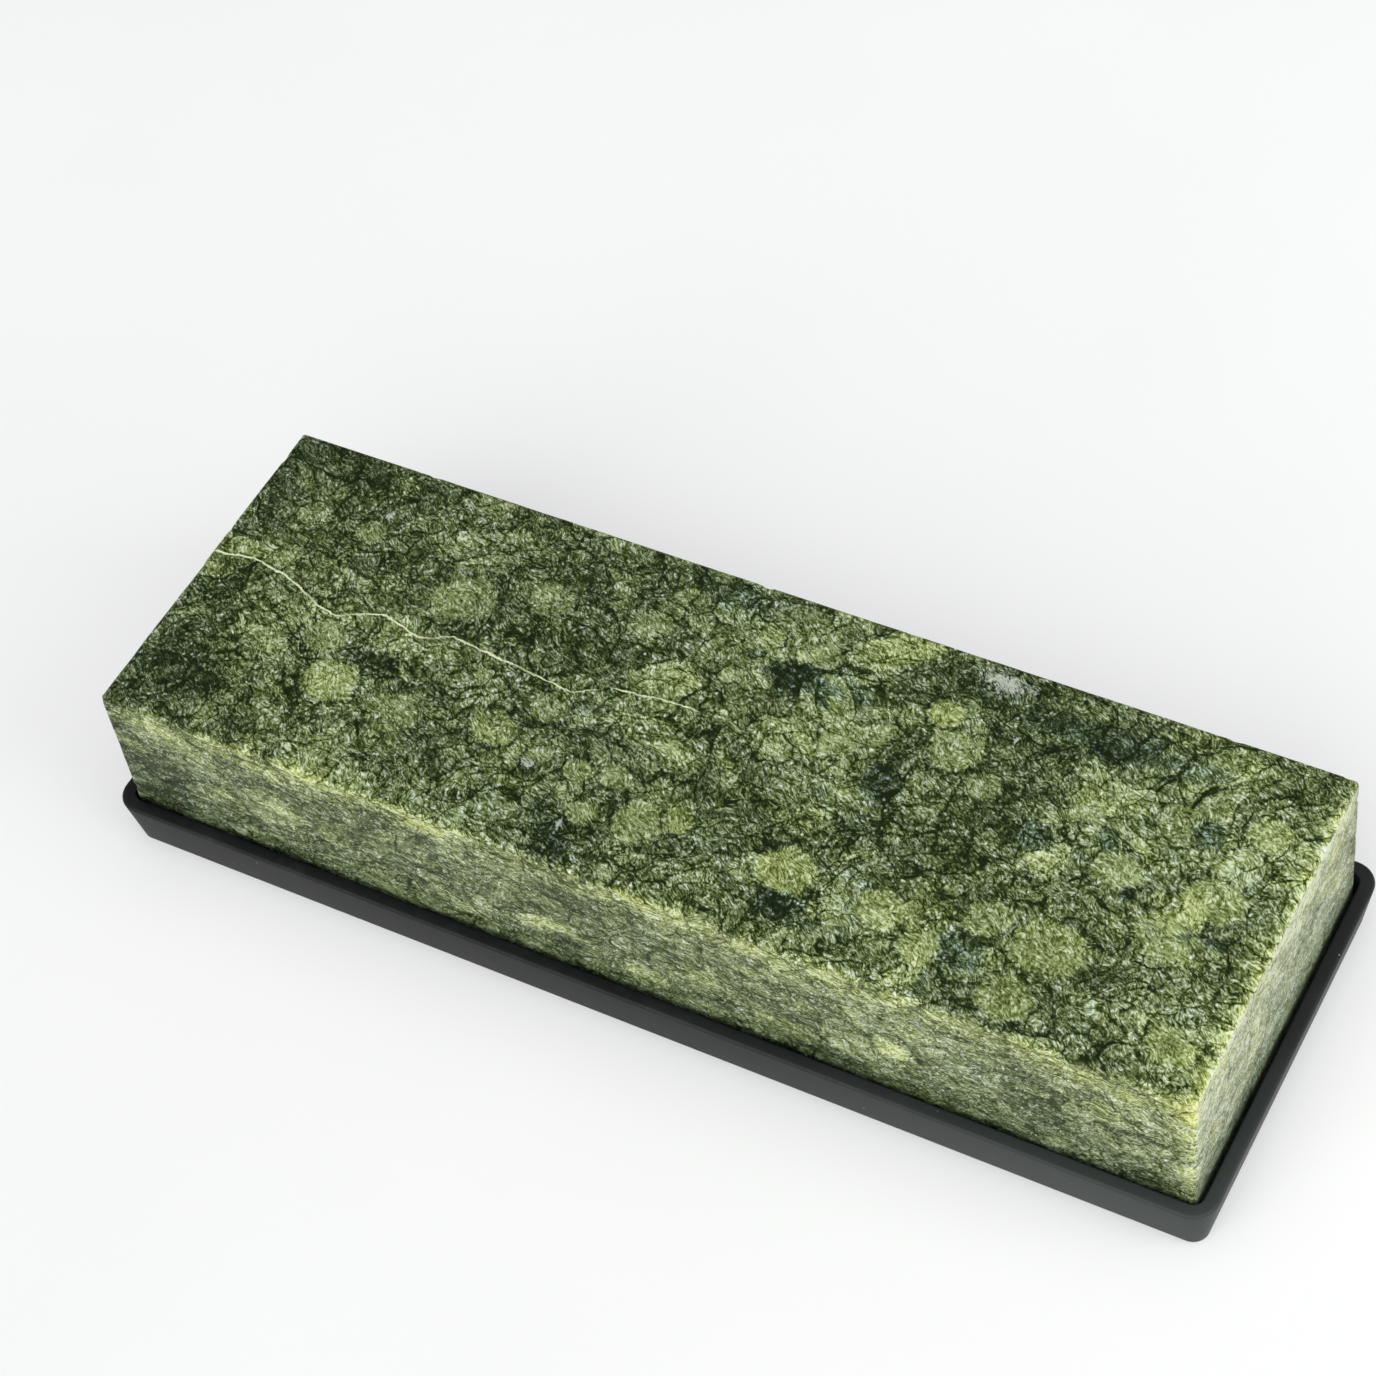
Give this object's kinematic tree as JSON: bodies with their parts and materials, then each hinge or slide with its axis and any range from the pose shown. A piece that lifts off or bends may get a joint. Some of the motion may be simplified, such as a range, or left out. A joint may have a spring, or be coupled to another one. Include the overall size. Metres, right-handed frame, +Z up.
{
  "type": "sharpening whetstone",
  "caption": "Rectangular block of mottled green natural stone for honing carving knives, standing loose in a shallow black moulded tray with rubber feet.",
  "frame": {"origin": "centre of the tray's outline, on the surface that the feet stand on", "axes": "+X along the stone, +Y across it towards the back, +Z up through the stone's working face"},
  "size_m": [0.1864, 0.0664, 0.0353],
  "materials": {
    "green_stone": "fine-lapped, mottled, satin",
    "black_plastic": "fine spark-eroded matt",
    "foot_rubber": "matt"
  },
  "bodies": {
    "tray": {"tray": "black_plastic", "foot_front_left": "foot_rubber", "foot_front_right": "foot_rubber", "foot_back_left": "foot_rubber", "foot_back_right": "foot_rubber"},
    "stone": {"whetstone": "green_stone"}
  },
  "joints": [
    {"name": "stone_lift", "type": "slide", "parent": "tray", "child": "stone", "axis": [0, 0, 1], "range_m": [0, 0.05]}
  ]
}
